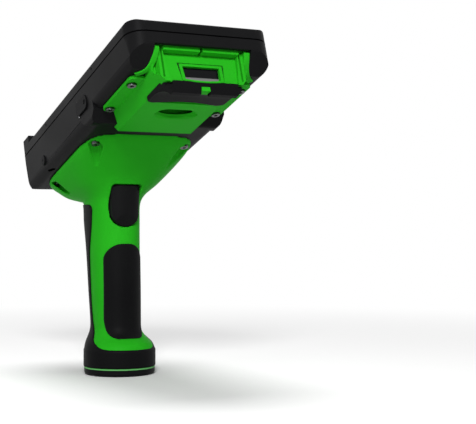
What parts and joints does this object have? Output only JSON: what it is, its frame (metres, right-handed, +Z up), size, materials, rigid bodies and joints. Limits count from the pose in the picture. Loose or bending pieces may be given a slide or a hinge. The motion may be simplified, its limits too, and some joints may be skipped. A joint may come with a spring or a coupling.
{
  "type": "barcode scanner grip",
  "caption": "Pistol-grip scanner with a flat tilted head, a nose with a scan window, a sprung trigger, rubber grip pads and a round foot whose cap turns.",
  "frame": {"origin": "middle of the round foot, on the surface it stands on", "axes": "+Z up along the grip, -Y towards the scan window, +X across the head"},
  "size_m": [0.096, 0.2103, 0.2252],
  "materials": {
    "green_plastic": "satin",
    "black_plastic": "satin",
    "black_rubber": "matte",
    "green_seal": "matte",
    "steel": "satin",
    "silver_plate": "satin",
    "dark_glass": "gloss",
    "circuit_board": "satin",
    "battery_can": "satin",
    "contact_brass": "satin"
  },
  "bodies": {
    "scanner": {"top_cover": "black_plastic", "face_plate": "silver_plate", "rear_inlay": "green_plastic", "cover_screws": "steel", "screw_seals": "green_seal", "cover_gasket": "black_rubber", "lower_shell": "black_plastic", "nose_housing": "green_plastic", "scan_window": "dark_glass", "chin_bumper": "black_rubber", "nose_screws": "steel", "scan_engine": "black_plastic", "engine_bracket": "steel", "main_board": "circuit_board", "board_screws": "steel", "handle_body": "green_plastic", "handle_screws": "steel", "front_grip": "black_rubber", "rear_grip": "black_rubber", "trigger_pin": "steel", "trigger_spring": "steel", "trigger_switch": "black_plastic", "trigger_cage": "black_plastic", "battery_pack": "battery_can", "battery_contacts": "contact_brass", "foot_socket": "black_plastic", "cap_seal": "green_seal", "port_door_pin": "steel", "port_socket": "steel", "vent_plug": "black_rubber"},
    "trigger_body": {"trigger": "black_plastic"},
    "cap_body": {"base_cap": "black_plastic"},
    "door_body": {"port_door": "black_rubber"}
  },
  "joints": [
    {"name": "trigger_pull", "type": "hinge", "parent": "scanner", "child": "trigger_body", "pos_m": [0, -0.00775, 0.1276], "axis": [1, 0, 0], "range_deg": [0, 9], "stiffness_Nm_per_rad": 0.6, "springref_deg": -8.59, "deforming": ["trigger_spring"]},
    {"name": "cap_turn", "type": "hinge", "parent": "scanner", "child": "cap_body", "pos_m": [0, 0, 0], "axis": [0, 0, 1], "range_deg": [0, 60]},
    {"name": "port_door_swing", "type": "hinge", "parent": "scanner", "child": "door_body", "pos_m": [-0.047, -0.04315, 0.17804], "axis": [0, -0.3223, -0.9466], "range_deg": [0, 100]}
  ]
}
